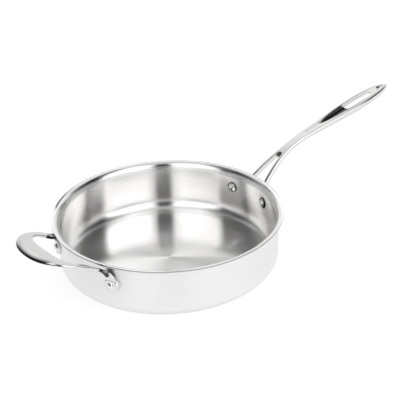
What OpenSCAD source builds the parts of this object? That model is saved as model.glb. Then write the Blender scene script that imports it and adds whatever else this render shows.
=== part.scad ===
// Straight-sided clad pan with a forked long handle and a looped helper handle.
// Millimetres. The origin is the centre of the base, +Z is up, and the long handle runs along +X.

/* [Pan] */
// Inside diameter of the upright wall
pan_inner_d = 260; // [220:5:300]
// Height from the base to the top of the lip
pan_h = 67.5; // [60:0.5:90]
// Inside radius between the floor and the wall
corner_r = 14; // [8:0.5:20]
// Radius of the flared pouring lip, on its inside face
lip_r = 9; // [7:0.5:12]

/* [Plies] */
// Thickness of the outer steel ply
outer_ply = 0.6; // [0.4:0.1:1]
// Thickness of the aluminium core
core_ply = 1.4; // [1:0.1:2.5]
// Thickness of the inside steel ply
lining_ply = 0.5; // [0.3:0.1:0.8]

/* [Rivets] */
// Diameter of a rivet's shank
rivet_d = 6; // [4:0.5:8]
// Diameter of the head inside the pan
rivet_head_d = 14; // [9:0.5:16]
// Height of the head inside the pan
rivet_head_h = 2.8; // [1.5:0.1:4]
// Diameter of the formed head outside
rivet_tail_d = 9; // [8.5:0.5:11]
// Height of the formed head outside
rivet_tail_h = 1.8; // [0.8:0.1:2.5]
// Clearance around a shank in its holes
rivet_fit = 0.05; // [0.02:0.01:0.1]

/* [Long handle] */
// Length from the lip to the handle's tip
handle_reach = 242; // [205:1:280]
// Rise of the grip above the horizontal, in degrees
grip_pitch = 10.5; // [4:0.5:20]
// Distance from the lip out to the middle of the bend
bend_out = 35; // [28:1:45]
// Height of the middle of the bend above the lip
bend_up = 20; // [14:1:30]
// Length over which the bend runs on into the grip
bend_run = 57; // [45:1:70]
// Distance from the lip out to the narrowest part of the neck
neck_out = 63; // [56:1:72]
// Width of the neck
neck_w = 14; // [12:0.5:18]
// Thickness of the neck and the legs
neck_t = 6; // [5:0.1:8]
// Width of the grip at its widest
grip_w = 26; // [20:0.5:34]
// Thickness of the grip at its widest
grip_t = 8.6; // [7:0.1:11]
// Length from the grip's widest part to the tip
tip_len = 57; // [40:1:70]
// Radius on the handle's long edges
handle_edge_r = 2.6; // [1.5:0.1:3]
// How far the grip's top face rises towards its middle
grip_crown = 1; // [0:0.1:1.5]
// Thickness left above the hollow in the grip's underside
grip_shell = 3.4; // [2.5:0.1:5]

/* [Fork] */
// Width of each leg of the fork
leg_w = 5.5; // [4.5:0.1:5.8]
// Distance between the legs' middles where they meet the wall
leg_span = 33; // [27:0.5:38]
// Distance from the lip out to the end of the gap between the legs
fork_len = 43; // [34:1:48]
// Distance between the two rivets, along a straight line
handle_rivet_gap = 60; // [54:1:76]
// Height of the rivets above the base
handle_rivet_z = 44; // [38:0.5:48]
// Width of a foot around its rivet
foot_w = 20; // [17:0.5:22]
// Thickness of a foot
foot_t = 4; // [3:0.1:6]

/* [Grip slot] */
// Length of the dish in the top of the grip
dish_len = 113; // [98:1:120]
// Width of the dish
dish_w = 12.5; // [9:0.5:14]
// Distance from the end of the dish to the tip
dish_inset = 14; // [11:0.5:20]
// Length of the slope at the pan's end of the dish
ramp_in = 48; // [36:1:54]
// Length of the slope at the tip's end of the dish
ramp_out = 17.5; // [12:0.5:20]

/* [Helper handle] */
// Length from the lip to the outer edge of the loop
helper_reach = 56; // [46:1:62]
// Height of the loop's outer edge above the lip
helper_up = 17.5; // [8:0.5:24]
// Overall width of the loop
helper_w = 104.5; // [98:0.5:112]
// Width of the flat grip across the middle
helper_grip_w = 25; // [16:0.5:26]
// Width of each arm
helper_arm_w = 9.5; // [7.5:0.5:12]
// Thickness of the loop
helper_t = 3.4; // [2.4:0.1:4.4]
// Slope of the arms where they leave the wall, in degrees
helper_pitch = 35; // [20:1:42]
// Depth below the lip at which the arms bend outward
helper_knee = 10; // [6:0.5:14]
// Distance between the two rivets, along a straight line
helper_rivet_gap = 112; // [106:1:120]
// Height of the rivets above the base
helper_rivet_z = 40; // [34:0.5:43]
// Width of each arm where it joins its pad
helper_tab_w = 11; // [8:0.5:13]
// Diameter of each round pad
helper_pad_d = 19; // [16:0.5:24]
// Thickness of each round pad
helper_pad_t = 5; // [4.5:0.1:7]

/* [Hidden] */

$fn = 96;
wall_fn = 256;       // for cylinders as wide as the pan
steel = "#c9cacb";
bright_steel = "#dcdde0";
aluminium = "#b9bdc2";

// Pan: an offset runs outward from the inside face, so 0 is the inside and wall_t the outside.
wall_t = outer_ply + core_ply + lining_ply;
inner_r = pan_inner_d / 2;
wall_r = inner_r + wall_t;
corner_x = inner_r - corner_r;
corner_z = wall_t + corner_r;
lip_edge_r = inner_r + lip_r;
lip_z = pan_h - lip_r;

// Rivets
handle_rivet_angle = asin(handle_rivet_gap / 2 / wall_r);
helper_rivet_angle = asin(helper_rivet_gap / 2 / wall_r);
head_rim = 0.8;      // upright edge below the dome of an inside head
through = 30;        // length of a cutter that passes right through a wall or a bar
overlap = 1;         // how far one shape runs into the next where they are joined

// Long handle: the middle line is a curve from the wall to the bend, then straight to the tip.
landing_drop = 1;    // the legs meet the wall this far below the rivets
bend_start = [wall_r, handle_rivet_z - landing_drop];
bend_mid = [lip_edge_r + bend_out, pan_h + bend_up];
grip_dir = [cos(grip_pitch), sin(grip_pitch)];
bend_end = bend_mid + bend_run * grip_dir;
tip_x = lip_edge_r + handle_reach;
neck_x = lip_edge_r + neck_out;
widest_x = tip_x - tip_len;
bend_steps = 26;
grip_steps = 34;
edge_share = 0.8;    // the most of a bar's half width that the radius on its edges may take
corner_steps = 4;    // steps round an edge of a bar
face_steps = 6;      // steps across a face of a bar
fork_curve = 1.6;    // how sharply the legs spread: 1 is straight
tip_curve = 0.5;     // fullness of the tip's outline: 0.5 is an ellipse
nose_hold = 4;       // how long the grip keeps its thickness towards the tip
nose_curve = 0.3;    // how bluntly the thickness ends at the tip
tip_gap = 0.15;      // the last section stops this far from the tip
hollow_lead = 8;     // distance from the neck to the start of the hollow
hollow_start = neck_x + hollow_lead;
hollow_len = 45;     // length over which the hollow reaches its full depth
hollow_end_len = 22; // length over which it ends before the tip
hollow_flat = 4;     // how flat the hollow's roof is: 2 is a plain arc
gap_steps = 10;
dish_steps = 12;     // steps round each end of the dish
ramp_rows = 8;
ramp_entry = 0.6;    // how steeply a slope of the dish starts: 1 is a straight slope
ramp_over = 0.4;     // how far a slope runs on below the shell
dish_point = 30;     // length over which the dish comes to its narrow start
fork_half = leg_span / 2 + leg_w / 2;

// Helper handle: its middle surface turns about the pan's axis, upright at the pads and sloping above.
helper_mid_r = wall_r + helper_pad_t / 2;
helper_d = lip_edge_r + helper_reach - helper_mid_r;
bend_r = 2.2;        // softness of the bend from the pads to the arms
knee_z = pan_h - helper_knee;
helper_slope = tan(helper_pitch);
helper_rise = pan_h + helper_up - helper_t / 2 - knee_z;
arm_start = 2;       // distance beyond the lip at which the arms join the loop
arm_x = lip_edge_r + arm_start;
loop_steps = 18;
arm_steps = 12;
outer_curve = 2.3;   // fullness of the loop's outer edge: 2 is an ellipse
inner_curve = 3.5;   // fullness of the loop's inner edge
helper_edge_r = 1.5; // radius on the loop's edges
arm_turn = 0.9;      // the part of an arm over which it swings out to its pad
arm_straight = 13;   // distance from the wall over which an arm rises straight
round_off = (helper_slope * helper_d - helper_rise) / pow(helper_d - arm_straight, 2);
pad_bevel = 2;

// A smooth step from 0 to 1.
function ease(t) = (1 - cos(180 * min(1, max(0, t)))) / 2;

// A bar's section, as points across its width and its thickness, with rounded edges. The top can
// rise by a crown towards the middle, and the underside can be hollowed out.
function bar_section(half_w, half_t, edge_r, crown = 0, hollow = 0) =
    let (
        r = min(edge_r, edge_share * half_w, edge_share * half_t),
        flat = half_w - r,
        corner = [for (k = [0:corner_steps]) r * [cos(90 * k / corner_steps), sin(90 * k / corner_steps)]],
        across = [for (k = [1:face_steps - 1]) 1 - 2 * k / face_steps]
    )
    concat(
        [for (c = corner) [flat + c[0], half_t - r + c[1]]],
        [for (f = across) [flat * f, half_t + crown * (1 - f * f)]],
        [for (c = corner) [-flat - c[1], half_t - r + c[0]]],
        [for (c = corner) [-flat - c[0], r - half_t - c[1]]],
        [for (f = across) [-flat * f, hollow * (1 - pow(f, hollow_flat)) - half_t]],
        [for (c = corner) [flat + c[1], r - half_t - c[0]]]
    );

function middle(points) = [for (p = points) 1] * points / len(points);

// A closed solid through rings of points, each ring turning the same way.
module skin(rings) {
    n = len(rings);
    m = len(rings[0]);
    points = concat([for (r = rings) each r], [middle(rings[0]), middle(rings[n - 1])]);
    sides = [for (i = [0:n - 2], j = [0:m - 1])
        let (a = i * m + j, b = i * m + (j + 1) % m)
        each [[a, a + m, b], [b, a + m, b + m]]];
    ends = [for (j = [0:m - 1])
        let (b = (j + 1) % m, last = (n - 1) * m)
        each [[n * m, j, b], [n * m + 1, last + b, last + j]]];
    polyhedron(points, concat(sides, ends), convexity = 8);
}

module ring_2d(r_in, r_out) {
    difference() {
        circle(r_out);
        circle(r_in);
    }
}

// One layer of the pan, between two offsets from the inside face.
module ply(near, far) {
    t = far - near;
    rotate_extrude() {
        translate([0, wall_t - far]) square([corner_x, t]);
        intersection() {
            translate([corner_x, corner_z]) ring_2d(corner_r + near, corner_r + far);
            translate([corner_x, wall_t - far]) square(corner_r + far);
        }
        translate([inner_r + near, corner_z]) square([t, lip_z - corner_z]);
        intersection() {
            translate([lip_edge_r, lip_z]) ring_2d(lip_r - far, lip_r - near);
            translate([inner_r, lip_z]) square(lip_r);
        }
    }
}

// Puts something along a rivet's axis: outward is +Z, and 0 is the wall's outside face.
module at_rivet(angle, z) {
    rotate([0, 0, angle]) translate([wall_r, 0, z]) rotate([0, 90, 0]) children();
}

module at_handle_rivets() {
    for (side = [-1, 1]) at_rivet(side * handle_rivet_angle, handle_rivet_z) children();
}

module at_helper_rivets() {
    for (side = [-1, 1]) at_rivet(180 + side * helper_rivet_angle, helper_rivet_z) children();
}

module rivet_hole() {
    translate([0, 0, -through / 2]) cylinder(d = rivet_d + 2 * rivet_fit, h = through);
}

module drilled_ply(near, far) {
    difference() {
        ply(near, far);
        at_handle_rivets() rivet_hole();
        at_helper_rivets() rivet_hole();
    }
}

module outer_shell() {
    color(steel) drilled_ply(lining_ply + core_ply, wall_t);
}

module aluminium_core() {
    color(aluminium) drilled_ply(lining_ply, lining_ply + core_ply);
}

module inner_lining() {
    color(bright_steel) drilled_ply(0, lining_ply);
}

// A low dome standing on z = 0.
module dome(d, h) {
    r = (d * d / 4 + h * h) / (2 * h);
    intersection() {
        translate([0, 0, h - r]) sphere(r);
        cylinder(d = d, h = h);
    }
}

// A rivet at its place, with heads that follow the round wall and the face of what it holds.
module rivet(angle, z, held_t) {
    shank = wall_t + held_t + 2 * head_rim;
    at_rivet(angle, z) translate([0, 0, -wall_t - head_rim]) cylinder(d = rivet_d, h = shank);
    intersection() {
        at_rivet(angle, z) translate([0, 0, -wall_t]) mirror([0, 0, 1]) {
            translate([0, 0, -overlap]) cylinder(d = rivet_head_d, h = head_rim + overlap);
            translate([0, 0, head_rim]) dome(rivet_head_d, rivet_head_h - head_rim);
        }
        cylinder(r = inner_r, h = pan_h, $fn = wall_fn);
    }
    difference() {
        at_rivet(angle, z) translate([0, 0, held_t - overlap]) {
            cylinder(d = rivet_tail_d, h = overlap);
            translate([0, 0, overlap]) dome(rivet_tail_d, rivet_tail_h);
        }
        cylinder(r = wall_r + held_t, h = pan_h, $fn = wall_fn);
    }
}

module long_handle_rivet_left() {
    color(bright_steel) rivet(handle_rivet_angle, handle_rivet_z, foot_t);
}

module long_handle_rivet_right() {
    color(bright_steel) rivet(-handle_rivet_angle, handle_rivet_z, foot_t);
}

module helper_rivet_left() {
    color(bright_steel) rivet(180 + helper_rivet_angle, helper_rivet_z, helper_pad_t);
}

module helper_rivet_right() {
    color(bright_steel) rivet(180 - helper_rivet_angle, helper_rivet_z, helper_pad_t);
}

// The handle's middle line in the XZ plane: up to 1 it follows the bend, up to 2 the straight grip.
function on_line(t) = t <= 1
    ? (1 - t) * (1 - t) * bend_start + 2 * t * (1 - t) * bend_mid + t * t * bend_end
    : bend_end + (t - 1) * (tip_x - tip_gap - bend_end[0]) / grip_dir[0] * grip_dir;

function line_dir(t) = t >= 1 ? grip_dir
    : let (d = (1 - t) * (bend_mid - bend_start) + t * (bend_end - bend_mid)) d / norm(d);

// Half of the handle's width at a distance x from the pan's axis.
function half_width(x) = x < neck_x
    ? neck_w / 2 + (fork_half - neck_w / 2) * pow((neck_x - x) / (neck_x - wall_r), fork_curve)
    : x < widest_x
    ? neck_w / 2 + (grip_w - neck_w) / 2 * grip_part(x)
    : grip_w / 2 * pow(1 - pow((x - widest_x) / tip_len, 2), tip_curve);

function half_thickness(x) = x < widest_x
    ? neck_t / 2 + (grip_t - neck_t) / 2 * grip_part(x)
    : grip_t / 2 * pow(1 - pow((x - widest_x) / tip_len, nose_hold), nose_curve);

// How much of the grip's own shape a place has, from 0 at the neck to 1 at the widest part.
function grip_part(x) = ease((x - neck_x) / (widest_x - neck_x));

function hollow_depth(x) =
    max(0, 2 * half_thickness(x) + crown(x) - grip_shell)
    * min(ease((x - hollow_start) / hollow_len), ease((tip_x - x - grip_shell) / hollow_end_len));

// The rise of the top face at a distance x from the pan's axis; it dies away with the thickness.
function crown(x) = grip_crown * grip_part(x) * (x < widest_x ? 1 : 2 * half_thickness(x) / grip_t);

function handle_ring(t) =
    let (p = on_line(t), x = p[0], d = line_dir(t))
    [for (q = bar_section(half_width(x), half_thickness(x), handle_edge_r, crown(x), hollow_depth(x)))
        [x - q[1] * d[1], q[0], p[1] + q[1] * d[0]]];

// Steps along the straight grip close up towards the tip.
handle_steps = concat(
    [for (i = [0:bend_steps - 1]) i / bend_steps],
    [for (i = [0:grip_steps]) 1 + sin(90 * i / grip_steps)]
);

// The space between the legs, closed by a round end.
module fork_gap() {
    end_x = lip_edge_r + fork_len;
    round_x = end_x - (half_width(end_x) - leg_w);
    sides = [for (i = [0:gap_steps])
        let (x = round_x - i * (round_x - inner_r) / gap_steps)
        [x, half_width(x) - leg_w]];
    linear_extrude(2 * pan_h) {
        translate([round_x, 0]) circle(sides[0][1]);
        polygon(concat(sides, [for (i = [gap_steps:-1:0]) [sides[i][0], -sides[i][1]]]));
    }
}

// Height of the grip's top face at a distance x from the pan's axis.
function grip_top(x) = bend_end[1] + (x - bend_end[0]) * tan(grip_pitch)
    + (half_thickness(x) + crown(x)) / cos(grip_pitch);

// The floor of one slope of the dish: it starts at the top face and curves down into the hollow.
function slope(start_x, length, way) =
    [for (i = [0:ramp_rows])
        let (f = i / ramp_rows, x = start_x + way * f * length)
        [x, grip_top(x) - (ramp_entry * f + (1 - ramp_entry) * f * f) * (grip_shell + ramp_over)]];

// The dish with the slot in its floor: its outline from above, met by its outline from the side.
module dish() {
    start_x = tip_x - dish_inset - dish_len;
    end_x = tip_x - dish_inset;
    half_w = dish_w / 2;
    in_floor = slope(start_x, ramp_in, 1);
    out_floor = slope(end_x, ramp_out, -1);
    below = grip_top(start_x) - 3 * grip_t;
    above = grip_top(end_x) + grip_t;
    intersection() {
        linear_extrude(2 * above) polygon(concat(
            [for (i = [0:dish_steps])
                let (a = 90 + 180 * i / dish_steps)
                [start_x + dish_point * (1 + cos(a)), half_w * sin(a)]],
            [for (i = [0:dish_steps])
                let (a = 180 * i / dish_steps - 90)
                [end_x - half_w * (1 - cos(a)), half_w * sin(a)]]
        ));
        translate([0, dish_w, 0]) rotate([90, 0, 0]) linear_extrude(2 * dish_w) polygon(concat(
            [[start_x, above]],
            in_floor,
            [[in_floor[ramp_rows][0], below], [out_floor[ramp_rows][0], below]],
            [for (i = [ramp_rows:-1:0]) out_floor[i]],
            [[end_x, above]]
        ));
    }
}

// The space within a distance t outside the wall.
module around_wall(t) {
    difference() {
        cylinder(r = wall_r + t, h = pan_h, $fn = wall_fn);
        cylinder(r = wall_r, h = pan_h, $fn = wall_fn);
    }
}

module foot(side) {
    landing_y = leg_span / 2;
    rivet_y = (wall_r + foot_t) * sin(handle_rivet_angle);
    intersection() {
        around_wall(foot_t);
        translate([0, 0, handle_rivet_z]) rotate([90, 0, 90]) linear_extrude(2 * wall_r) {
            translate([side * landing_y, 0]) circle(d = foot_w);
            translate([side * rivet_y, 0]) circle(d = foot_w);
            translate([side * (landing_y + rivet_y) / 2, 0])
                square([rivet_y - landing_y, foot_w], center = true);
        }
    }
}

module long_handle() {
    color(bright_steel) difference() {
        union() {
            difference() {
                skin([for (t = handle_steps) handle_ring(t)]);
                fork_gap();
                dish();
                cylinder(r = wall_r, h = 2 * pan_h, $fn = wall_fn);
            }
            foot(-1);
            foot(1);
        }
        at_handle_rivets() rivet_hole();
    }
}

// The loop's middle surface: p runs up the wall to the bend at 0, then outward along the arms.
function from_wall(p) = (p + sqrt(p * p + 4 * bend_r * bend_r)) / 2;
function outward(d) = d - bend_r * bend_r / d;

// The same distance, less what keeps the loop level across its width.
function level(d, angle) = d - (helper_mid_r + d) * (1 - cos(angle)) * ease(d / helper_d);

// Height gained at a distance d: straight along the arms, then rounding off towards the loop's outer edge.
function rise(d) = helper_slope * d - round_off * pow(max(0, d - arm_straight), 2);
function rise_slope(d) = helper_slope - 2 * round_off * max(0, d - arm_straight);

// A point n above the middle surface, at p and at an angle from the loop's own axis.
function on_loop(p, angle, n) =
    let (
        d = from_wall(p),
        out = (1 + p / sqrt(p * p + 4 * bend_r * bend_r)) / 2,
        up = 1 - out + rise_slope(level(d, angle)) * out,
        r = helper_mid_r + d - n * up / norm([out, up]),
        z = knee_z + p - d + rise(level(d, angle)) + n * out / norm([out, up])
    )
    [-r * cos(angle), r * sin(angle), z];

// A point on the loop's outline, as p and angle, from its place in plan.
function in_plan(reach, half_w, fullness, a) =
    let (
        x = arm_x + reach * pow(cos(a), 2 / fullness),
        y = sign(a) * half_w * pow(abs(sin(a)), 2 / fullness)
    )
    [outward(norm([x, y]) - helper_mid_r), atan2(y, x)];

function loop_inner(a) =
    in_plan(lip_edge_r + helper_reach - helper_grip_w - arm_x, helper_w / 2 - helper_arm_w, inner_curve, a);
function loop_outer(a) = in_plan(lip_edge_r + helper_reach - arm_x, helper_w / 2, outer_curve, a);

// The two edges of an arm as it bends down to its pad, from 0 at the loop to 1 inside the pad.
function arm_edges(f, side) =
    let (
        tab_end = helper_rivet_z - knee_z + rivet_tail_d / 2,
        tab_half = helper_tab_w / 2 / helper_mid_r * 180 / PI,
        start_in = loop_inner(90),
        start_out = loop_outer(90)
    )
    [for (e = [[start_in, -tab_half], [start_out, tab_half]])
        let (turn = (helper_rivet_angle + e[1] - e[0][1]) * ease(f / arm_turn))
        [e[0][0] + (tab_end - e[0][0]) * f, side * (e[0][1] + turn)]];

function loop_ring(edges) =
    let (
        across = edges[1] - edges[0],
        w = norm([across[0], across[1] * PI / 180 * (helper_mid_r + from_wall(edges[0][0]))])
    )
    [for (q = bar_section(w / 2, helper_t / 2, helper_edge_r))
        let (e = edges[0] + across * (0.5 + q[0] / w)) on_loop(e[0], e[1], q[1])];

// A round pad with a bevelled edge: it starts behind the wall's face, which cuts it to fit.
module pad() {
    upright = helper_pad_t - pad_bevel;
    translate([0, 0, -overlap]) cylinder(d = helper_pad_d, h = upright + overlap);
    translate([0, 0, upright])
        cylinder(d1 = helper_pad_d, d2 = helper_pad_d - 2 * pad_bevel, h = pad_bevel);
}

module helper_handle() {
    rings = concat(
        [for (i = [arm_steps:-1:1]) loop_ring(arm_edges(i / arm_steps, -1))],
        [for (i = [-loop_steps:loop_steps])
            let (a = 90 * i / loop_steps)
            loop_ring([loop_inner(a), loop_outer(a)])],
        [for (i = [1:arm_steps]) loop_ring(arm_edges(i / arm_steps, 1))]
    );
    color(bright_steel) difference() {
        union() {
            difference() {
                skin(rings);
                cylinder(r = wall_r, h = 2 * pan_h, $fn = wall_fn);
            }
            intersection() {
                at_helper_rivets() pad();
                around_wall(helper_pad_t);
            }
        }
        at_helper_rivets() rivet_hole();
    }
}

outer_shell();
aluminium_core();
inner_lining();
long_handle();
helper_handle();
long_handle_rivet_left();
long_handle_rivet_right();
helper_rivet_left();
helper_rivet_right();
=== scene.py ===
import math
import bpy
import bmesh
from mathutils import Matrix, Vector


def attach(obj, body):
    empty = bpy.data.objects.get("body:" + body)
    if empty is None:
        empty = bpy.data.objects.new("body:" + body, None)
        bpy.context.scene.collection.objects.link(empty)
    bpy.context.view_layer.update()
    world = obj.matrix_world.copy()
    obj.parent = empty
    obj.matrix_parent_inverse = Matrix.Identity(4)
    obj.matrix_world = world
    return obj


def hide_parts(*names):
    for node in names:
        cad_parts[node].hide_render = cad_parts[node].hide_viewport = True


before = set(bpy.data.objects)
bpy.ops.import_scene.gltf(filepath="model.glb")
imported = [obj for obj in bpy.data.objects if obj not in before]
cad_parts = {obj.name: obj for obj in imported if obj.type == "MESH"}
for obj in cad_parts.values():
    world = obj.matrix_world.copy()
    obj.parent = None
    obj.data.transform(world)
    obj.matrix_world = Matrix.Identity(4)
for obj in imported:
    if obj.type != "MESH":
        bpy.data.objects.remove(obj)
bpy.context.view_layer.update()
print("frame loaded with", len(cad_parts), "nodes")

mm = 0.001  # shapes are in millimetres, and finishes, the floor and the camera in metres


# Shader boards

class Wire:  # a socket that can stand in a sum
    def __init__(self, board, socket):
        self.board = board
        self.socket = socket

    def work(self, operation, first, second):
        return self.board.add("Math", {"operation": operation}, {0: first, 1: second})

    def __add__(self, other):
        return self.work("ADD", self, other)

    def __sub__(self, other):
        return self.work("SUBTRACT", self, other)

    def __rsub__(self, other):
        return self.work("SUBTRACT", other, self)

    def __mul__(self, other):
        return self.work("MULTIPLY", self, other)

    def __truediv__(self, other):
        return self.work("DIVIDE", self, other)

    def __pow__(self, other):
        return self.work("POWER", self, other)

    def __abs__(self):
        return self.board.add("Math", {"operation": "ABSOLUTE"}, {0: self})

    def atLeast(self, other):
        return self.work("MAXIMUM", self, other)

    __radd__ = __add__
    __rmul__ = __mul__


class Board:  # the nodes of one material or world
    def __init__(self, owner):
        owner.use_nodes = True
        self.tree = owner.node_tree
        self.tree.nodes.clear()

    def add(self, kind, settings={}, sockets={}, output=0):
        node = self.tree.nodes.new("ShaderNode" + kind)
        for name, value in settings.items():
            if name == "stops":
                fillRamp(node.color_ramp, value)
            else:
                setattr(node, name, value)
        for name, value in sockets.items():
            if isinstance(value, Wire):
                self.tree.links.new(value.socket, node.inputs[name])
            else:
                node.inputs[name].default_value = value
        return Wire(self, node.outputs[output]) if len(node.outputs) else node

    def parts(self, wire):  # the three numbers of a vector
        split = self.add("SeparateXYZ", {}, {0: wire}).socket.node
        return [Wire(self, socket) for socket in split.outputs]

    def join(self, x, y, z):
        return self.add("CombineXYZ", {}, {0: x, 1: y, 2: z})

    def limit(self, wire, low, high, newLow=0.0, newHigh=1.0):  # a soft step, falling where low is above high
        return self.add("MapRange", {"interpolation_type": "SMOOTHSTEP"},
                        {0: wire, 1: low, 2: high, 3: newLow, 4: newHigh})

    def blend(self, share, first, second):  # between two colours
        return self.add("Mix", {"data_type": "RGBA"}, {0: share, 6: first, 7: second}, 2)

    def noise(self, place, size, detail=2.0, rough=0.5):
        return self.add("TexNoise", {}, {"Vector": place, "Scale": size, "Detail": detail,
                                         "Roughness": rough})

    def finish(self, kind, socketName, wire):
        self.add(kind, {}, {socketName: wire})


def fillRamp(ramp, stops):
    ramp.interpolation = "EASE"
    while len(ramp.elements) < len(stops):
        ramp.elements.new(1.0)
    for element, (place, level) in zip(ramp.elements, stops):
        element.position = place
        element.color = (level, level, level, 1)


def grey(level, warm=0.0):
    return (level * (1 + warm), level, level * (1 - warm), 1)


# Mesh helpers

def linkPiece(name, mesh):
    piece = bpy.data.objects.new(name, mesh)
    bpy.context.scene.collection.objects.link(piece)
    return piece


def makePiece(name, points, faces):
    mesh = bpy.data.meshes.new(name)
    mesh.from_pydata([(x * mm, y * mm, z * mm) for x, y, z in points], [], faces)
    shell = bmesh.new()
    shell.from_mesh(mesh)
    bmesh.ops.recalc_face_normals(shell, faces=shell.faces)
    shell.to_mesh(mesh)
    shell.free()
    return linkPiece(name, mesh)


def lathe(name, profile, steps):  # a closed profile of (radius, height), turned about Z
    points, rings = [], []
    for r, z in profile:
        if r < 1e-6:  # on the axis, where the whole ring is one point
            rings.append([len(points)] * steps)
            points.append((0, 0, z))
        else:
            rings.append(list(range(len(points), len(points) + steps)))
            points += [(r * math.cos(2 * math.pi * k / steps), r * math.sin(2 * math.pi * k / steps), z)
                       for k in range(steps)]
    faces = []
    for i, ring in enumerate(rings):
        above = rings[(i + 1) % len(rings)]
        for k in range(steps):
            j = (k + 1) % steps
            corners = list(dict.fromkeys((ring[k], ring[j], above[j], above[k])))
            if len(corners) > 2:
                faces.append(corners)
    return makePiece(name, points, faces)


def arc(x, z, r, start, end, steps):
    angles = [math.radians(start + (end - start) * i / steps) for i in range(steps + 1)]
    return [(x + r * math.cos(a), z + r * math.sin(a)) for a in angles]


def skin(name, rings):  # a closed solid through rings of points
    count = len(rings[0])
    last = (len(rings) - 1) * count
    points = [point for ring in rings for point in ring]
    faces = []
    for low in range(0, last, count):
        for j in range(count):
            k = (j + 1) % count
            faces.append((low + j, low + k, low + count + k, low + count + j))
    for ring, first in ((rings[0], 0), (rings[-1], last)):
        points.append(tuple(sum(p[k] for p in ring) / count for k in range(3)))
        faces += [(first + j, first + (j + 1) % count, len(points) - 1) for j in range(count)]
    return makePiece(name, points, faces)


def prism(name, outline, place):  # place turns (u, v, end) into a point
    count = len(outline)
    points = [place(u, v, end) for end in (0, 1) for u, v in outline]
    faces = [(j, (j + 1) % count, count + (j + 1) % count, count + j) for j in range(count)]
    return makePiece(name, points, faces + [tuple(range(count)), tuple(range(count, 2 * count))])


def withModifiers(piece):
    graph = bpy.context.evaluated_depsgraph_get()
    mesh = bpy.data.meshes.new_from_object(piece.evaluated_get(graph))
    piece.modifiers.clear()
    piece.data = mesh
    return piece


def cut(piece, tool, operation="DIFFERENCE"):
    change = piece.modifiers.new("cut", "BOOLEAN")
    change.operation = operation
    change.solver = "EXACT"
    change.object = tool
    withModifiers(piece)
    bpy.data.objects.remove(tool)
    return piece


def gather(name, parts):  # several overlapping solids as one mesh
    mesh = bmesh.new()
    for part in parts:
        mesh.from_mesh(part.data)
        bpy.data.objects.remove(part)
    data = bpy.data.meshes.new(name)
    mesh.to_mesh(data)
    mesh.free()
    return linkPiece(name, data)


def soften(piece, voxel, passes):  # one skin over all of it, with its edges worn soft
    wrap = piece.modifiers.new("wrap", "REMESH")
    wrap.mode = "VOXEL"
    wrap.voxel_size = voxel * mm
    wrap.use_smooth_shade = True
    ease = piece.modifiers.new("ease", "SMOOTH")
    ease.factor = 0.5
    ease.iterations = passes
    return withModifiers(piece)


def dress(piece, material, slotName, *nodes):
    piece.data.materials.clear()
    piece.data.materials.append(material)
    piece.data.shade_smooth()
    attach(piece, "root")
    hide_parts(*nodes)
    return piece


# Finishes

def newMaterial(name):
    material = bpy.data.materials.new(name)
    return material, Board(material)


def tones(look):  # the two greys of an uneven colour
    return [grey(look["tone"] + way * look["toneChange"], look["warm"]) for way in (-1, 1)]


def metal(board, look, colour, rough, height, extra={}):
    bump = board.add("Bump", {}, {"Strength": look["bump"], "Distance": look["bumpDeep"], "Height": height})
    shader = board.add("BsdfPrincipled", {}, {"Base Color": colour, "Metallic": 1.0, "Roughness": rough,
                                             "Normal": bump, **extra})
    board.finish("OutputMaterial", "Surface", shader)


def roundPlace(board):  # distance from the axis, height, and a point that goes round with the angle
    x, y, z = board.parts(board.add("TexCoord", output="Object"))
    reach = (x * x + y * y) ** 0.5
    far = reach.atLeast(0.001)
    return reach, z, x / far, y / far


def ringLines(board, ring, lines, breaks, detail, rough=0.5):  # lines round the axis, which break now and then
    along, east, north = ring
    return board.noise(board.join(along * lines, east * breaks, north * breaks), 1.0, detail, rough)


def dullTurns(board, look, reach, height, rough):  # softer reflections in the corner and about the lip
    corner = board.limit(height, *look["cornerHigh"]) * board.limit(reach, *look["cornerReach"])
    turn = board.limit(height, *look["turnLow"]) * board.limit(height, *look["turnHigh"])
    rough = rough * (1 + corner * look["cornerRough"]) * (1 + turn * look["turnRough"])
    return rough * board.limit(height, *look["lipHigh"], 1.0, look["lipRough"])


def turnedSteel(name, look):  # steel with fine lines that run round the pan
    material, board = newMaterial(name)
    reach, height, east, north = roundPlace(board)
    ring = (reach + height, east, north)
    fine = ringLines(board, ring, look["fineLines"], look["fineBreaks"], 3.0, 0.6)
    broad = ringLines(board, ring, look["broadLines"], look["broadBreaks"], 2.0)
    cloud = board.noise(board.add("TexCoord", output="Object"), look["cloudSize"], 3.0)
    tone = board.limit(fine * 0.5 + broad * 0.3 + cloud * 0.2, 0.3, 0.7)
    colour = board.blend(tone, *tones(look))
    rough = look["rough"] + (fine - 0.5) * look["roughChange"] + (cloud - 0.5) * look["roughChange"] * 0.6
    if "baseShadeTone" in look:  # painted shade, darker towards the base
        foot = board.limit(height, look["baseShadeHigh"], 0.0)
        colour = board.blend(foot, colour, grey(look["baseShadeTone"], look["warm"]))
    if "cornerRough" in look:
        rough = dullTurns(board, look, reach, height, rough)
    metal(board, look, colour, rough, fine * 0.7 + broad * 0.3,
          {"Anisotropic": look["pull"], "Anisotropic Rotation": look["pullTurn"]})
    return material


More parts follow.
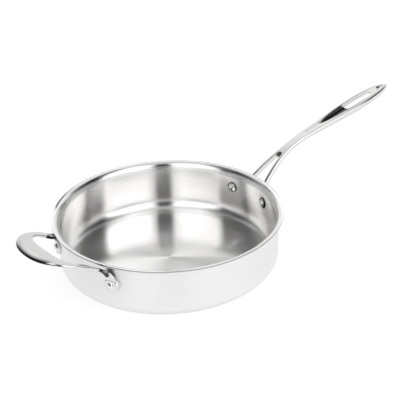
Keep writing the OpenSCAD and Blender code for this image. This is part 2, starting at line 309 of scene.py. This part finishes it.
def castSteel(name, look, spots=(), shade=None):  # polished by hand, a little uneven
    material, board = newMaterial(name)
    place = board.add("TexCoord", output="Object")
    cloud = board.noise(place, look["cloudSize"], 3.0)
    grain = board.noise(place, look["grainSize"], 3.0, 0.6)
    rub = board.noise(place, look["rubSize"], 2.0)
    tone = board.limit(cloud * 0.6 + rub * 0.4, 0.3, 0.7)
    colour = board.blend(tone, *tones(look))
    rough = look["rough"] + (cloud - 0.5) * look["roughChange"] + (grain - 0.5) * look["roughChange"]
    for spot, reach in spots:  # painted shade and dark reflections at these spots, where the metal is also rougher
        away = board.add("VectorMath", {"operation": "DISTANCE"}, {0: place, 1: spot}, "Value")
        paintedShadeSpot = board.limit(away, reach, reach * look["spotCore"])
        colour = board.blend(paintedShadeSpot, colour, grey(look["spotShadeTone"]))
        rough = rough + paintedShadeSpot * look["spotRough"]
    # the piece's mask darkens the colour: painted dark reflection
    if shade:
        colour = board.blend(shade(board, place), colour, grey(look["shadeTone"]))
    metal(board, look, colour, rough, grain * 0.25 + rub * 0.75)
    return material


turnedBase = {"fineBreaks": 9, "broadBreaks": 2.5, "cloudSize": 14.0, "bumpDeep": 0.0001, "pullTurn": 0.25}
liningFinish = {**turnedBase, "fineLines": 2600, "broadLines": 420, "tone": 0.9, "toneChange": 0.02,
                "warm": 0.006, "rough": 0.18, "roughChange": 0.03, "bump": 0.04, "pull": 1.0,
                "cornerRough": 0.25, "cornerHigh": (0.021, 0.016), "cornerReach": (0.112, 0.119),
                "turnRough": 0.8, "turnLow": (0.0555, 0.059), "turnHigh": (0.066, 0.062),
                "lipRough": 0.8, "lipHigh": (0.06, 0.064)}
# the last two values of the outside finish give painted shade, darker towards the base
outsideFinish = {**turnedBase, "fineLines": 2200, "broadLines": 300, "tone": 0.87, "toneChange": 0.02,
                 "warm": 0, "rough": 0.4, "roughChange": 0.06, "bump": 0.06, "pull": 0.6,
                 "baseShadeTone": 0.7, "baseShadeHigh": 0.014}
coreFinish = {**turnedBase, "fineLines": 3000, "broadLines": 600, "tone": 0.35, "toneChange": 0.04,
              "warm": 0, "rough": 0.4, "roughChange": 0.1, "bump": 0.2, "pull": 0.3}
castBase = {"cloudSize": 45.0, "grainSize": 900.0, "rubSize": 160.0, "warm": 0.004, "bumpDeep": 0.0002,
            "spotCore": 0.7, "spotRough": 0.15}
handleFinish = {**castBase, "tone": 0.73, "toneChange": 0.02, "rough": 0.1, "roughChange": 0.04, "bump": 0.05}

liningSteel = turnedSteel("lining_steel", liningFinish)
outsideSteel = turnedSteel("outside_steel", outsideFinish)
coreMetal = turnedSteel("core_aluminium", coreFinish)
print("finishes ready")


# The pan: three bonded layers

pan = {"insideDiameter": 260, "height": 67.5, "cornerRadius": 14, "lipRadius": 9,
       "outerPly": 0.6, "corePly": 1.4, "liningPly": 0.5, "edgeRadius": 0.25, "sharpAngle": 40,
       "steps": 384, "cornerSteps": 20, "lipSteps": 18, "edgeSteps": 4}
wallThick = pan["outerPly"] + pan["corePly"] + pan["liningPly"]
insideRadius = pan["insideDiameter"] / 2
wallRadius = insideRadius + wallThick
lipEdge = insideRadius + pan["lipRadius"]
lipHeight = pan["height"] - pan["lipRadius"]


def layerFace(offset):  # from the axis, out along the base, up the wall and out to the lip's edge
    cornerX, cornerZ = insideRadius - pan["cornerRadius"], wallThick + pan["cornerRadius"]
    bottom = wallThick - offset
    base = [(cornerX * f, bottom) for f in (0, 0.02, 0.1, 0.25, 0.45, 0.65, 0.85)]
    corner = arc(cornerX, cornerZ, pan["cornerRadius"] + offset, -90, 0, pan["cornerSteps"])
    wall = [(insideRadius + offset, cornerZ + (lipHeight - cornerZ) * f) for f in (0.25, 0.5, 0.75)]
    lip = arc(lipEdge, lipHeight, pan["lipRadius"] - offset, 180, 90, pan["lipSteps"])
    return base + corner + wall + lip


def roundEdge(face, way):  # takes the sharpness off the lip's edge
    if not way:
        return face
    r = pan["edgeRadius"]
    x, z = face[-1]
    return face[:-1] + arc(x - r, z - way * r, r, 90 * way, 0, pan["edgeSteps"])


def layer(name, near, far):
    return lathe(name, roundEdge(layerFace(near), 1 if near == 0 else 0)
                 + roundEdge(layerFace(far), -1 if far == wallThick else 0)[::-1], pan["steps"])


lining = layer("pan_lining", 0, pan["liningPly"])
core = layer("pan_core", pan["liningPly"], pan["liningPly"] + pan["corePly"])
outside = layer("pan_outside", pan["liningPly"] + pan["corePly"], wallThick)
for piece in (lining, core, outside):
    piece.data.set_sharp_from_angle(angle=math.radians(pan["sharpAngle"]))
dress(lining, liningSteel, "lining_steel", "inner_lining")
dress(core, coreMetal, "core_aluminium", "aluminium_core")
dress(outside, outsideSteel, "outer_steel", "outer_shell")
print("pan ready")


# Bars, as the two handles use them

bars = {"corners": 6, "across": 14, "roundest": 0.8, "hollowCurve": 4, "arcSteps": 24}


def easeStep(t):
    return (1 - math.cos(math.pi * min(1, max(0, t)))) / 2


def barSection(halfWide, halfThick, edge, crown=0, hollow=0):
    corners, across = bars["corners"], bars["across"]
    r = min(edge, bars["roundest"] * halfWide, bars["roundest"] * halfThick)
    flat = halfWide - r
    angles = [math.pi / 2 * k / corners for k in range(corners + 1)]
    turn = [(r * math.cos(a), r * math.sin(a)) for a in angles]
    share = [1 - 2 * k / across for k in range(1, across)]
    return ([(flat + a, halfThick - r + b) for a, b in turn]
            + [(flat * f, halfThick + crown * (1 - f * f)) for f in share]
            + [(-flat - b, halfThick - r + a) for a, b in turn]
            + [(-flat - a, r - halfThick - b) for a, b in turn]
            + [(-flat * f, hollow * (1 - f ** bars["hollowCurve"]) - halfThick) for f in share]
            + [(flat + b, r - halfThick - a) for a, b in turn])


def insideWall():  # fills the pan out to the wall's outside face, so that what it cuts lies flush there
    low, high = -10, 150
    return lathe("wall", [(0, low), (wallRadius, low), (wallRadius, high), (0, high)], pan["steps"])


def upright(x, y, top):  # the two ends of a prism that stands through everything
    return x, y, 2 * pan["height"] * top


# The long handle

longHandle = {"reach": 242, "pitch": 10.5,
              "rivetGap": 60, "rivetHigh": 44, "footWide": 20, "footThick": 4,
              "blockFrom": 90, "blockLong": 60, "footLow": 20, "footTop": 66,
              "bendOut": 35, "bendUp": 20, "bendRun": 57, "startDrop": 1,
              "legWide": 5.5, "legSpan": 33, "forkLong": 43, "forkCurve": 1.6, "dent": 3.6, "dentLift": 0.3,
              "neckOut": 63, "neckWide": 14, "neckThick": 6,
              "gripWide": 26, "gripThick": 8.6, "crown": 1, "edgeRadius": 2.6,
              "tipLong": 57, "tipGap": 0.15, "noseFlat": 4, "noseCurve": 0.3,
              "shell": 3.4, "hollowLead": 8, "hollowLong": 45, "hollowEnd": 22,
              "dishLong": 113, "dishWide": 20, "dishInset": 14, "rampIn": 48, "rampOut": 17.5,
              "dishPoint": 78, "dishEnd": 30, "dishDeep": 2.4, "dishFull": 2.2, "dishSpare": 0.02,
              "dishAbove": 6, "dishSteps": 160, "bowlSteps": 40, "slotWide": 9.6,
              "bendSteps": 70, "gripSteps": 90, "dentSteps": 20, "dentSides": 48,
              "voxel": 0.5, "passes": 6}
# these give the painted shade and dark reflection on the long handle
handleDark = {"crotchUp": 2, "crotchReach": 0.0046, "endBack": 3, "endSide": -1, "endDown": 1,
              "endReach": 0.003, "spotShadeTone": 0.1, "shadeTone": 0.03,
              "rim": (0.97, 0.85), "level": (0.0, 0.2), "fade": (0.003, -0.002),
              "ledge": (0.042, -0.01), "ledgeSide": (-0.003, -0.0045),
              "nearEdge": (-0.0095, -0.003), "edgeShare": 0.2}
handleAngle = math.asin(longHandle["rivetGap"] / 2 / wallRadius)
gripWay = (math.cos(math.radians(longHandle["pitch"])), math.sin(math.radians(longHandle["pitch"])))
bendStart = (wallRadius, longHandle["rivetHigh"] - longHandle["startDrop"])
bendMid = (lipEdge + longHandle["bendOut"], pan["height"] + longHandle["bendUp"])
bendEnd = (bendMid[0] + longHandle["bendRun"] * gripWay[0], bendMid[1] + longHandle["bendRun"] * gripWay[1])
tipX = lipEdge + longHandle["reach"]
neckX = lipEdge + longHandle["neckOut"]
crotchX = lipEdge + longHandle["forkLong"]
widestX = tipX - longHandle["tipLong"]
forkHalf = (longHandle["legSpan"] + longHandle["legWide"]) / 2
dishTo = tipX - longHandle["dishInset"]
dishFrom = dishTo - longHandle["dishLong"]
slotFrom = dishFrom + longHandle["rampIn"]
slotTo = dishTo - longHandle["rampOut"]


def onLine(t):  # the handle's middle line in x and z: a bend up to 1, and the straight grip from 1 to 2
    if t <= 1:
        a, b, c = (1 - t) ** 2, 2 * t * (1 - t), t * t
        return tuple(a * bendStart[k] + b * bendMid[k] + c * bendEnd[k] for k in (0, 1))
    run = (t - 1) * (tipX - longHandle["tipGap"] - bendEnd[0]) / gripWay[0]
    return bendEnd[0] + run * gripWay[0], bendEnd[1] + run * gripWay[1]


def lineWay(t):
    if t >= 1:
        return gripWay
    d = [(1 - t) * (bendMid[k] - bendStart[k]) + t * (bendEnd[k] - bendMid[k]) for k in (0, 1)]
    return d[0] / math.hypot(*d), d[1] / math.hypot(*d)


def onLineAt(x):  # the first of 400 places along the bend that lies beyond x
    t = next(k / 400 for k in range(400) if onLine(k / 400)[0] > x)
    return onLine(t), lineWay(t)


def gripPart(x):
    return easeStep((x - neckX) / (widestX - neckX))


def halfWide(x):
    neck, grip = longHandle["neckWide"] / 2, longHandle["gripWide"] / 2
    if x < neckX:
        return neck + (forkHalf - neck) * ((neckX - x) / (neckX - wallRadius)) ** longHandle["forkCurve"]
    if x < widestX:
        return neck + (grip - neck) * gripPart(x)
    return grip * (1 - ((x - widestX) / longHandle["tipLong"]) ** 2) ** 0.5


def halfThick(x):
    neck, grip = longHandle["neckThick"] / 2, longHandle["gripThick"] / 2
    if x < widestX:
        return neck + (grip - neck) * gripPart(x)
    nose = ((x - widestX) / longHandle["tipLong"]) ** longHandle["noseFlat"]
    return grip * (1 - nose) ** longHandle["noseCurve"]


def crownHigh(x):
    thinner = 1 if x < widestX else 2 * halfThick(x) / longHandle["gripThick"]
    return longHandle["crown"] * gripPart(x) * thinner


def hollowDeep(x):
    start = (x - neckX - longHandle["hollowLead"]) / longHandle["hollowLong"]
    end = (tipX - x - longHandle["shell"]) / longHandle["hollowEnd"]
    deep = max(0, 2 * halfThick(x) + crownHigh(x) - longHandle["shell"])
    return deep * min(easeStep(start), easeStep(end))


def gripTop(x):
    lean = gripWay[1] / gripWay[0]
    return bendEnd[1] + (x - bendEnd[0]) * lean + (halfThick(x) + crownHigh(x)) / gripWay[0]


def handleRing(t):
    (x, z), (a, b) = onLine(t), lineWay(t)
    section = barSection(halfWide(x), halfThick(x), longHandle["edgeRadius"], crownHigh(x), hollowDeep(x))
    return [(x - v * b, u, z + v * a) for u, v in section]


def forkGap():
    steps = bars["arcSteps"]
    roundX = crotchX - (halfWide(crotchX) - longHandle["legWide"])
    far = [(x, halfWide(x) - longHandle["legWide"]) for x in
           [roundX - k * (roundX - insideRadius) / steps for k in range(steps + 1)]]
    end = arc(roundX, 0, far[0][1], 90, -90, steps)
    outline = end + [(x, -y) for x, y in far[1:]] + far[:0:-1]
    return prism("fork_gap", outline, upright)


def crotchDent():  # a round hollow where the two legs part
    (x, z), (a, b) = onLineAt(crotchX)
    lift = halfThick(x) + longHandle["dentLift"] * longHandle["dent"]
    ball = arc(0, 0, longHandle["dent"], -90, 90, longHandle["dentSteps"])
    dent = lathe("dent", ball, longHandle["dentSides"])
    dent.data.transform(Matrix.Translation(((x - lift * b) * mm, 0, (z + lift * a) * mm)))
    return dent


def dishHalf(x):
    short = max(0, (dishFrom - x) / longHandle["dishPoint"] + 1, (x - dishTo) / longHandle["dishEnd"] + 1)
    return longHandle["dishWide"] / 2 * math.sqrt(max(0, 1 - short * short)) + longHandle["dishSpare"]


def dishDeep(x):
    f = min(1, (x - dishFrom) / longHandle["rampIn"], (dishTo - x) / longHandle["rampOut"])
    return (0.6 * f + 0.4 * f * f) * longHandle["dishDeep"] + longHandle["dishSpare"]


def dish():
    power = 2 / longHandle["dishFull"]
    steps, sides = longHandle["dishSteps"], longHandle["bowlSteps"]
    bowl = [math.pi * j / sides for j in range(sides + 1)]
    rings = []
    for k in range(steps + 1):
        x = dishFrom + longHandle["dishLong"] * (1 - math.cos(math.pi * k / steps)) / 2
        half, deep, top = dishHalf(x), dishDeep(x), gripTop(x)
        lid = top + longHandle["dishAbove"]
        low = [(x, half * math.copysign(abs(math.cos(a)) ** power, math.cos(a)),
                top - deep * math.sin(a) ** power) for a in bowl]
        rings.append(low + [(x, -half, lid), (x, half, lid)])
    return skin("dish", rings)


def slot():
    r = longHandle["slotWide"] / 2
    steps = bars["arcSteps"]
    outline = arc(slotTo - r, 0, r, 90, -90, steps) + arc(slotFrom + r, 0, r, -90, -270, steps)
    return prism("slot", outline, upright)


def foot(side):  # a flat block, cut to a ring that lies on the wall
    outer = wallRadius + longHandle["footThick"]
    landing, bolt = longHandle["legSpan"] / 2, outer * math.sin(handleAngle)
    r, high, steps = longHandle["footWide"] / 2, longHandle["rivetHigh"], bars["arcSteps"]
    outline = arc(bolt, high, r, -90, 90, steps) + arc(landing, high, r, 90, 270, steps)
    block = prism("foot", outline, lambda y, z, far: (longHandle["blockFrom"] + longHandle["blockLong"] * far,
                                                      side * y, z))
    low, top = longHandle["footLow"], longHandle["footTop"]
    ring = lathe("ring", [(wallRadius, low), (outer, low), (outer, top), (wallRadius, top)], pan["steps"])
    return cut(block, ring, "INTERSECT")


def dishShade(board, place):  # painted dark reflection from the dish's start to the slot, and on along the ledge on the near side
    x, y, z = board.parts(place)
    east, north, up = board.parts(board.add("TexCoord", output="Normal"))
    point, edge = longHandle["dishPoint"] * mm, slotFrom * mm
    lead = ((dishFrom * mm + point - x) / point).atLeast(0)
    across = y / (longHandle["dishWide"] / 2 * mm)
    inside = (board.limit(lead * lead + across * across, *handleDark["rim"])
              * board.limit(up, *handleDark["level"]))
    start = board.limit(x, *[edge + v for v in handleDark["fade"]])
    ledge = board.limit(x, *[edge + v for v in handleDark["ledge"]]) * board.limit(y, *handleDark["ledgeSide"])
    dark = start.atLeast(ledge) * inside
    return dark * board.limit(y, *handleDark["nearEdge"], handleDark["edgeShare"], 1.0)


def shadeSpotsOnHandle():  # painted shade and dark reflection where the legs part, and at the far end of the dish
    x, z = onLineAt(crotchX)[0]
    crotch = (x * mm, 0, (z + handleDark["crotchUp"]) * mm)
    end = (dishTo - handleDark["endBack"], handleDark["endSide"], gripTop(dishTo) - handleDark["endDown"])
    return [(crotch, handleDark["crotchReach"]), ([v * mm for v in end], handleDark["endReach"])]


bendSteps, gripSteps = longHandle["bendSteps"], longHandle["gripSteps"]
along = [k / bendSteps for k in range(bendSteps)]
along += [1 + math.sin(math.pi / 2 * k / gripSteps) for k in range(gripSteps + 1)]
bar = skin("bar", [handleRing(t) for t in along])
for tool in (forkGap, dish, slot, crotchDent, insideWall):
    cut(bar, tool())
handle = gather("long_handle_cast", [bar, foot(-1), foot(1)])
soften(handle, longHandle["voxel"], longHandle["passes"])
longSteel = castSteel("long_handle_steel", {**handleFinish, **handleDark}, shadeSpotsOnHandle(), dishShade)
dress(handle, longSteel, "handle_steel", "long_handle")
print("long handle ready:", len(handle.data.polygons), "faces")


# The helper handle

helper = {"reach": 56, "up": 17.5, "wide": 104.5, "gripWide": 25, "armWide": 9.5, "thick": 3.4, "pitch": 35,
          "rivetGap": 112, "rivetHigh": 40, "padWide": 19, "padThick": 5, "padBevel": 2, "padSunk": 1,
          "knee": 10, "bendRadius": 2.2, "armStart": 2, "armTurn": 0.9, "armStraight": 13,
          "tabWide": 11, "tabUp": 4.5, "outerCurve": 2.3, "innerCurve": 3.5, "edgeRadius": 1.5,
          "armSteps": 40, "loopSteps": 70, "padSides": 96, "voxel": 0.42, "passes": 5}
# these give the painted shade and dark reflection on the helper handle
helperDark = {"kneeSpots": ((0.34, 0.6), (0.46, 0.5), (0.57, 0.5)), "kneeReach": 0.0052,
              "armSpots": (0.02, 0.16, 0.3, 0.44), "armReach": 0.0036, "spotShadeTone": 0.03, "shadeTone": 0.02,
              "edge": (0.66, 1.0), "edgeFall": 1.3, "farEnd": (0.036, 0.014), "nearEnd": (-0.037, -0.03)}
helperAngle = math.degrees(math.asin(helper["rivetGap"] / 2 / wallRadius))
middleRadius = wallRadius + helper["padThick"] / 2
loopFar = lipEdge + helper["reach"] - middleRadius
kneeHigh = pan["height"] - helper["knee"]
armSlope = math.tan(math.radians(helper["pitch"]))
loopRise = pan["height"] + helper["up"] - helper["thick"] / 2 - kneeHigh
armX = lipEdge + helper["armStart"]
roundOff = (armSlope * loopFar - loopRise) / (loopFar - helper["armStraight"]) ** 2


def bendRoot(p):
    return math.sqrt(p * p + 4 * helper["bendRadius"] ** 2)


def outward(d):  # the way from the knee, along the loop, to a place d out from the pads' middle
    return d - helper["bendRadius"] ** 2 / d


def onLoop(p, angle, n):  # a point n above the loop's middle surface
    a = math.radians(angle)
    d = (p + bendRoot(p)) / 2
    out = (1 + p / bendRoot(p)) / 2
    flat = d - (middleRadius + d) * (1 - math.cos(a)) * easeStep(d / loopFar)
    over = max(0, flat - helper["armStraight"])
    up = 1 - out + (armSlope - 2 * roundOff * over) * out
    size = math.hypot(out, up)
    r = middleRadius + d - n * up / size
    z = kneeHigh + p - d + armSlope * flat - roundOff * over ** 2 + n * out / size
    return -r * math.cos(a), r * math.sin(a), z


def inPlan(reach, half, fullness, turn):
    a = math.radians(turn)
    x = armX + reach * max(0, math.cos(a)) ** (2 / fullness)
    y = math.copysign(half * abs(math.sin(a)) ** (2 / fullness), a)
    return outward(math.hypot(x, y) - middleRadius), math.degrees(math.atan2(y, x))


def loopInner(turn):
    return inPlan(lipEdge + helper["reach"] - helper["gripWide"] - armX,
                  helper["wide"] / 2 - helper["armWide"], helper["innerCurve"], turn)


def loopOuter(turn):
    return inPlan(lipEdge + helper["reach"] - armX, helper["wide"] / 2, helper["outerCurve"], turn)


def armEdges(f, side):
    tabEnd = helper["rivetHigh"] - kneeHigh + helper["tabUp"]
    tabHalf = math.degrees(helper["tabWide"] / 2 / middleRadius)
    inner, outer = loopInner(90), loopOuter(90)
    return [(start[0] + (tabEnd - start[0]) * f,
             side * (start[1] + (helperAngle + tab - start[1]) * easeStep(f / helper["armTurn"])))
            for start, tab in ((inner, -tabHalf), (outer, tabHalf))]


def loopRing(edges):
    (p0, a0), (p1, a1) = edges
    wide = math.hypot(p1 - p0, math.radians(a1 - a0) * (middleRadius + (p0 + bendRoot(p0)) / 2))
    section = barSection(wide / 2, helper["thick"] / 2, helper["edgeRadius"])
    return [onLoop(p0 + (p1 - p0) * (0.5 + u / wide), a0 + (a1 - a0) * (0.5 + u / wide), v)
            for u, v in section]


def atRivet(piece, degrees, high):  # outward is +Z on the piece, and 0 is the wall's outside face
    turn = Matrix.Rotation(math.radians(degrees), 4, "Z")
    move = Matrix.Translation((wallRadius * mm, 0, high * mm))
    piece.data.transform(turn @ move @ Matrix.Rotation(math.pi / 2, 4, "Y"))
    return piece


def pad(side):
    half, thick, bevel, sunk = helper["padWide"] / 2, helper["padThick"], helper["padBevel"], helper["padSunk"]
    profile = [(0, -sunk), (half, -sunk), (half, thick - bevel), (half - bevel, thick), (0, thick)]
    disc = lathe("pad", profile, helper["padSides"])
    return cut(atRivet(disc, 180 + side * helperAngle, helper["rivetHigh"]), insideWall())


def onArm(side, f, across):  # a point in the middle of an arm's thickness, from its inner to its outer edge
    (p0, a0), (p1, a1) = armEdges(f, side)
    return [v * mm for v in onLoop(p0 + (p1 - p0) * across, a0 + (a1 - a0) * across, 0)]


def shadeSpotsOnLoop():  # painted dark reflection and shade in the bends of both arms, and along the inner edge of the far one
    knees = [(onArm(side, *spot), helperDark["kneeReach"]) for side in (-1, 1)
             for spot in helperDark["kneeSpots"]]
    return knees + [(onArm(1, f, 0), helperDark["armReach"]) for f in helperDark["armSpots"]]


def loopShade(board, place):  # painted dark reflection along the loop's outer edge
    x, y, z = board.parts(place)
    curve = helper["outerCurve"]
    out = ((x * -1 - armX * mm) / ((helper["reach"] - helper["armStart"]) * mm)).atLeast(0)
    across = abs(y / (helper["wide"] / 2 * mm))
    edge = board.limit(out ** curve + across ** curve, *helperDark["edge"]) ** helperDark["edgeFall"]
    return edge * board.limit(y, *helperDark["farEnd"]) * board.limit(y, *helperDark["nearEnd"])


armSteps, loopSteps = helper["armSteps"], helper["loopSteps"]
rings = ([loopRing(armEdges(k / armSteps, -1)) for k in range(armSteps, 0, -1)]
         + [loopRing([loopInner(90 * k / loopSteps), loopOuter(90 * k / loopSteps)])
            for k in range(-loopSteps, loopSteps + 1)]
         + [loopRing(armEdges(k / armSteps, 1)) for k in range(1, armSteps + 1)])
loop = gather("helper_handle_cast", [skin("loop", rings), pad(-1), pad(1)])
soften(loop, helper["voxel"], helper["passes"])
loopSteel = castSteel("helper_handle_steel", {**handleFinish, **helperDark}, shadeSpotsOnLoop(), loopShade)
dress(loop, loopSteel, "handle_steel", "helper_handle")
print("helper handle ready:", len(loop.data.polygons), "faces")


# Rivets

rivet = {"wide": 6, "headWide": 14, "headHigh": 2.8, "headRim": 0.8, "headSunk": 0.2,
         "tailWide": 9, "tailHigh": 1.8, "tailSunk": 0.3, "sharpAngle": 40, "steps": 64, "domeSteps": 10}
# the last two values of the rivet finish give the painted dark reflection round the long handle's rivet heads
rivetFinish = {**castBase, "tone": 0.78, "toneChange": 0.03, "rough": 0.07, "roughChange": 0.04, "bump": 0.08,
               "rim": (0.95, 0.84), "shadeTone": 0.03}


def domeProfile(wide, high, base, way):  # from the rim to the middle
    r = (wide * wide / 4 + high * high) / (2 * high)
    reach = math.degrees(math.asin(wide / 2 / r))
    steps = rivet["domeSteps"]
    angles = [math.radians(reach * (1 - k / steps)) for k in range(steps + 1)]
    return [(r * math.sin(a), base + way * (high - r + r * math.cos(a))) for a in angles]


def rivetPiece(name, degrees, high, held, node, steel):  # held is the handle's thickness there
    rim = rivet["headRim"]
    head = domeProfile(rivet["headWide"], rivet["headHigh"] - rim, -wallThick - rim, -1)
    tail = domeProfile(rivet["tailWide"], rivet["tailHigh"], held, 1)
    shank, low, top = rivet["wide"] / 2, rivet["headSunk"] - wallThick, held - rivet["tailSunk"]
    profile = (head[::-1] + [(rivet["headWide"] / 2, low), (shank, low), (shank, top),
                             (rivet["tailWide"] / 2, top)] + tail)
    piece = atRivet(lathe(name, profile, rivet["steps"]), degrees, high)
    piece.data.set_sharp_from_angle(angle=math.radians(rivet["sharpAngle"]))
    return dress(piece, steel, "rivet_steel", node)


def rimShade(board, place):  # painted dark reflection round the head, where its face turns away from the pan's axis
    x, y, z = board.parts(place)
    east, north, up = board.parts(board.add("TexCoord", output="Normal"))
    facing = abs((x * east + y * north) / (x * x + y * y) ** 0.5)
    return board.limit(facing, *rivetFinish["rim"])


rivetSteel = castSteel("rivet_steel", rivetFinish, (), rimShade)
smallRivetSteel = castSteel("small_rivet_steel", rivetFinish)
for side, word in ((1, "left"), (-1, "right")):
    rivetPiece("rivet_long_" + word, side * math.degrees(handleAngle), longHandle["rivetHigh"],
               longHandle["footThick"], "long_handle_rivet_" + word, rivetSteel)
    rivetPiece("rivet_helper_" + word, 180 + side * helperAngle, helper["rivetHigh"],
               helper["padThick"], "helper_rivet_" + word, smallRivetSteel)
print("rivets ready")


# Stage, light and camera

cameraView = {"spot": (-0.615, -0.851, 0.633), "right": (0.77827, -0.62726, -0.02888),
              "up": (0.31271, 0.34729, 0.88409), "lens": 89.5, "sensor": 36}
floorLook = {"half": 30.0, "white": 0.9, "lit": 0.74, "shade": 0.4}
flag = {"x": -150, "radius": 110, "from": 110, "to": 238, "low": 30, "high": 84, "steps": 32, "tone": 0.02}

# Rings of light round the pan, lowest first. Each has the sines of the heights between which it takes over,
# and its brightness at some angles, counted from the camera's side.
studio = {"rows": [
    (None, [(-180, 0.9), (-152, 0.9), (-146, 0.5), (-120, 0.5), (-100, 0.5), (-64, 0.5), (-56, 1.3),
            (-8, 1.5), (-3, 0.2), (10, 0.2), (15, 1.4), (40, 1.4), (46, 0.48), (85, 0.48),
            (100, 0.48), (112, 0.48), (135, 0.2), (150, 0.7), (160, 0.9), (180, 0.9)]),
    ((0.08, 0.12), [(-180, 0.9), (-152, 0.9), (-146, 0.5), (-122, 0.5), (-114, 0.5), (-64, 0.5),
                    (-56, 1.3), (-8, 1.5), (-3, 0.1), (10, 0.1), (15, 1.4), (70, 1.4), (76, 0.48),
                    (100, 0.48), (112, 0.48), (135, 0.2), (150, 0.7), (160, 0.9), (180, 0.9)]),
    ((0.36, 0.42), [(-180, 1.1), (-155, 1.1), (-140, 0.25), (-122, 0.2), (-116, 0.02), (-66, 0),
                    (-56, 1.11), (-20, 1.19), (-8, 0.63), (-3, 0), (10, 0), (15, 0.71), (24, 1.43),
                    (62, 1.58), (72, 1.82), (77, 0.2), (82, 0), (110, 0), (120, 0.1), (130, 0.8),
                    (150, 1), (180, 1.1)]),
    ((0.51, 0.525), [(-180, 0.03), (-179, 0.03), (-177, 1.1), (-155, 1.1), (-140, 0.3), (-122, 0.3),
                     (-116, 0.02), (-68, 0), (-58, 1.43), (-20, 1.58), (-9, 0.96), (-3, 0), (10, 0),
                     (15, 0.71), (24, 1.75), (62, 1.75), (72, 1.82), (77, 0.2), (82, 0), (110, 0),
                     (120, 0.1), (130, 0.8), (150, 1.1), (160, 1.1), (163, 0.03), (180, 0.03)]),
    ((0.61, 0.63), [(-180, 1.1), (-165, 1), (-125, 0.5), (-115, 0.03), (-72, 0.03), (-64, 1.11),
                    (-54, 1.82), (-22, 1.99), (-12, 1.58), (-5, 0.08), (-2, 0), (11, 0), (15, 0.63),
                    (22, 1.75), (40, 1.99), (60, 1.99), (73, 1.67), (80, 0.3), (86, 0), (116, 0),
                    (126, 0.4), (145, 0.7), (160, 1.1), (180, 1.1)]),
    ((0.76, 0.8), [(-180, 1), (-150, 0.8), (-128, 0.5), (-115, 0.05), (-98, 0.3), (-84, 0.1),
                   (-74, 0.39), (-64, 0.87), (-54, 1.43), (-22, 1.58), (-12, 1.51), (-5, 0.39),
                   (-2, 0), (12, 0), (18, 1.11), (40, 1.43), (60, 1.43), (72, 1.11), (82, 0.4),
                   (98, 0.4), (106, 0.05), (120, 0.05), (140, 0.6), (160, 1), (180, 1)])],
    "top": 0.6, "topFrom": (0.91, 0.95), "brightest": 2.5}


def placeCamera(view):
    right, up = Vector(view["right"]), Vector(view["up"])
    turn = Matrix((right, up, right.cross(up))).transposed().to_4x4()
    camera = bpy.data.objects.new("camera", bpy.data.cameras.new("camera"))
    bpy.context.scene.collection.objects.link(camera)
    camera.matrix_world = Matrix.Translation(view["spot"]) @ turn
    camera.data.lens = view["lens"]
    camera.data.sensor_width = view["sensor"]
    bpy.context.scene.camera = camera


def layFloor(look):
    half = look["half"]
    corners = [(-half, -half, 0), (half, -half, 0), (half, half, 0), (-half, half, 0)]
    mesh = bpy.data.meshes.new("floor")
    mesh.from_pydata(corners, [], [(0, 1, 2, 3)])
    floor = linkPiece("floor", mesh)
    material, board = newMaterial("floor_white")
    path = board.add("LightPath").socket.node
    camera, mirror, through = [Wire(board, path.outputs[name]) for name in
                               ("Is Camera Ray", "Is Glossy Ray", "Is Transmission Ray")]
    seen = camera + mirror + through
    glow = board.add("Emission", {}, {"Color": grey(1), "Strength": seen * look["lit"]})
    matt = board.add("BsdfDiffuse", {}, {"Color": board.blend(seen, grey(look["white"]), grey(look["shade"]))})
    board.finish("OutputMaterial", "Surface", board.add("AddShader", {}, {0: glow, 1: matt}))
    mesh.materials.append(material)


def hangFlag(look):  # a black cloth beside the helper handle, which only reflections see
    steps = look["steps"]
    turns = [math.radians(look["from"] + (look["to"] - look["from"]) * k / steps) for k in range(steps + 1)]
    points = [(look["x"] + look["radius"] * math.cos(a), look["radius"] * math.sin(a), z)
              for z in (look["low"], look["high"]) for a in turns]
    row = len(turns)
    cloth = makePiece("flag", points, [(k, k + 1, row + k + 1, row + k) for k in range(steps)])
    cloth.visible_camera = cloth.visible_shadow = cloth.visible_diffuse = False
    material, board = newMaterial("flag_black")
    board.finish("OutputMaterial", "Surface", board.add("BsdfDiffuse", {}, {"Color": grey(look["tone"])}))
    cloth.data.materials.append(material)


def lightStudio(look, toCamera):
    world = bpy.data.worlds.new("studio")
    bpy.context.scene.world = world
    board = Board(world)
    x, y, z = board.parts(board.add("TexCoord"))
    turn = board.add("Math", {"operation": "ARCTAN2"}, {0: y, 1: x}) / (2 * math.pi)
    cameraTurn = math.atan2(toCamera.y, toCamera.x) / (2 * math.pi)  # it comes to lie halfway along the ramps
    share = board.add("Math", {"operation": "FRACT"}, {0: turn + (2.5 - cameraTurn)})
    light = None
    for start, stops in look["rows"]:
        levels = [(place / 360 + 0.5, level / look["brightest"]) for place, level in stops]
        ring = board.add("ValToRGB", {"stops": levels}, {0: share})
        light = board.blend(board.limit(z, *start), light, ring) if start else ring
    light = board.blend(board.limit(z, *look["topFrom"]), light, grey(look["top"] / look["brightest"]))
    back = board.add("Background", {}, {"Color": light, "Strength": look["brightest"]})
    board.finish("OutputWorld", "Surface", back)


placeCamera(cameraView)
layFloor(floorLook)
hangFlag(flag)
lightStudio(studio, Vector(cameraView["spot"]))
bpy.context.scene.view_settings.view_transform = "Standard"
print("studio ready")
